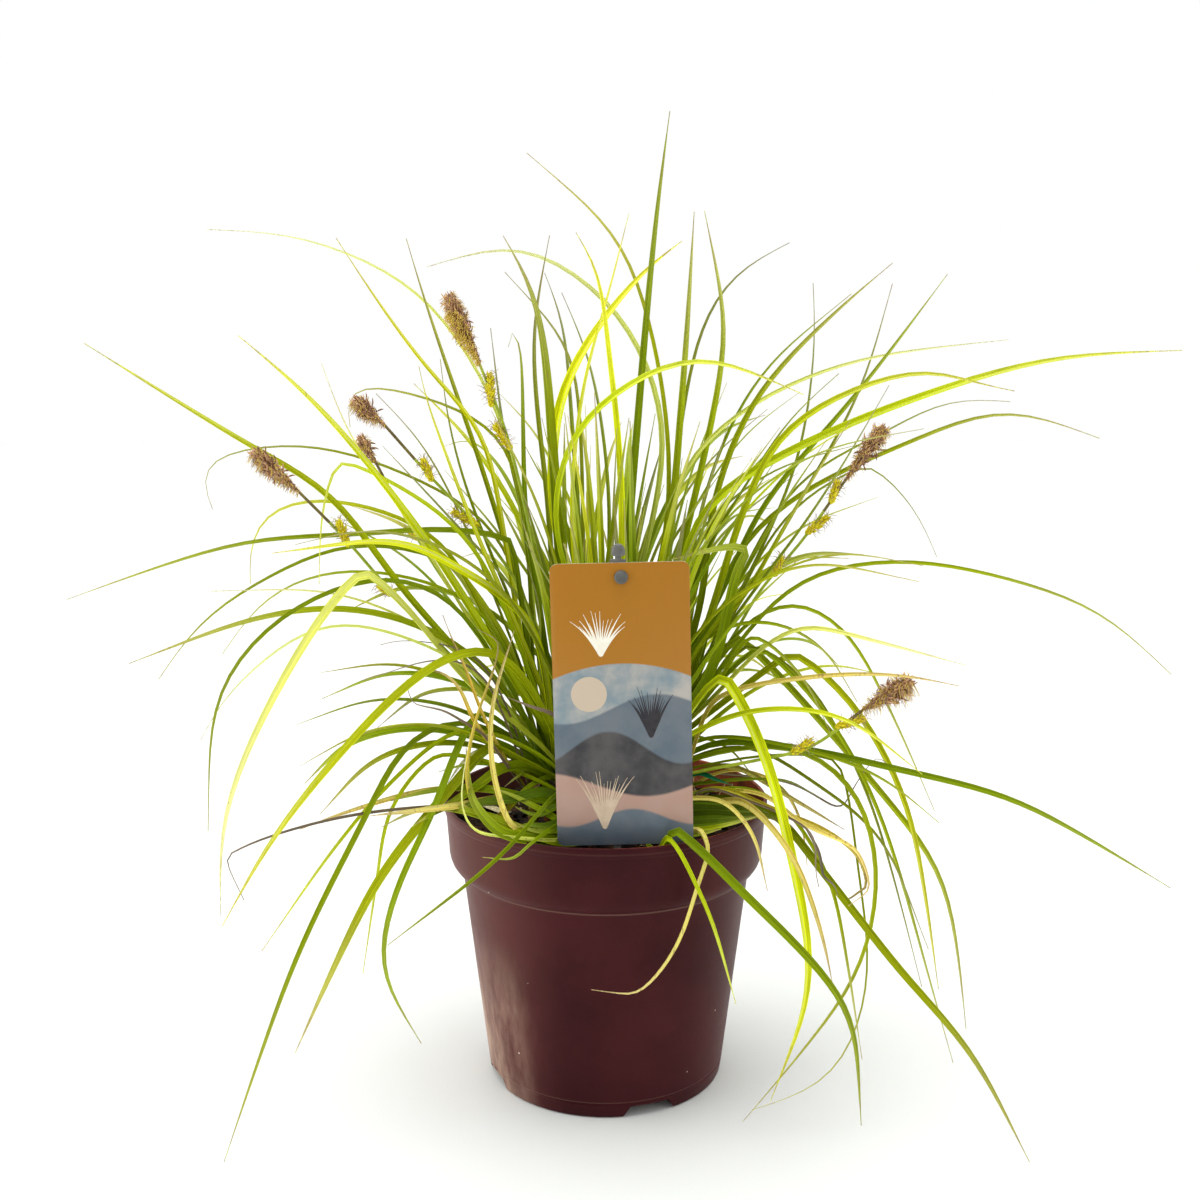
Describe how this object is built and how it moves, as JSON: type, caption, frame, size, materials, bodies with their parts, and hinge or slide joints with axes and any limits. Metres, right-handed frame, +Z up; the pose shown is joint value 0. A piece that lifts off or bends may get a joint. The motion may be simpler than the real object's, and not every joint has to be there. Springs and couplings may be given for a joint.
{
  "type": "potted sedge plant",
  "caption": "Arching clump of narrow golden sedge leaves with brown flower spikes in a round nursery pot, with a card label on a stake.",
  "frame": {"origin": "centre of the pot's underside", "axes": "+Z up, -Y towards the side that the label faces, +X to the right seen from that side"},
  "size_m": [0.456, 0.2773, 0.411],
  "materials": {
    "pot": "satin maroon plastic",
    "soil": "dark crumbly potting soil",
    "card": "printed card",
    "stake": "grey plastic",
    "leaf": "golden green leaf",
    "straw": "dry leaf",
    "stem": "green stem",
    "spike": "brown flower scales"
  },
  "bodies": {
    "root": {"pot": "pot", "soil": "soil", "label_card": "card", "label_stake": "stake", "leaf_tuft_01": "leaf", "leaf_tuft_02": "leaf", "leaf_tuft_03": "leaf", "leaf_tuft_04": "leaf", "leaf_tuft_05": "leaf", "leaf_tuft_06": "leaf", "leaf_tuft_07": "leaf", "leaf_tuft_08": "leaf", "leaf_tuft_09": "leaf", "leaf_tuft_10": "leaf", "leaf_tuft_11": "leaf", "leaf_tuft_12": "leaf", "leaf_tuft_13": "leaf", "leaf_tuft_14": "leaf", "leaf_tuft_15": "leaf", "leaf_tuft_16": "leaf", "leaf_tuft_17": "leaf", "leaf_tuft_18": "leaf", "leaf_tuft_19": "leaf", "dry_leaves_01": "straw", "dry_leaves_02": "straw", "dry_leaves_03": "straw", "dry_leaves_04": "straw", "dry_leaves_05": "straw", "flower_stem_01": "stem", "flower_spike_01": "spike", "flower_stem_02": "stem", "flower_spike_02": "spike", "flower_stem_03": "stem", "flower_spike_03": "spike", "flower_stem_04": "stem", "flower_spike_04": "spike", "flower_stem_05": "stem", "flower_spike_05": "spike", "flower_stem_06": "stem", "flower_spike_06": "spike"}
  },
  "joints": []
}
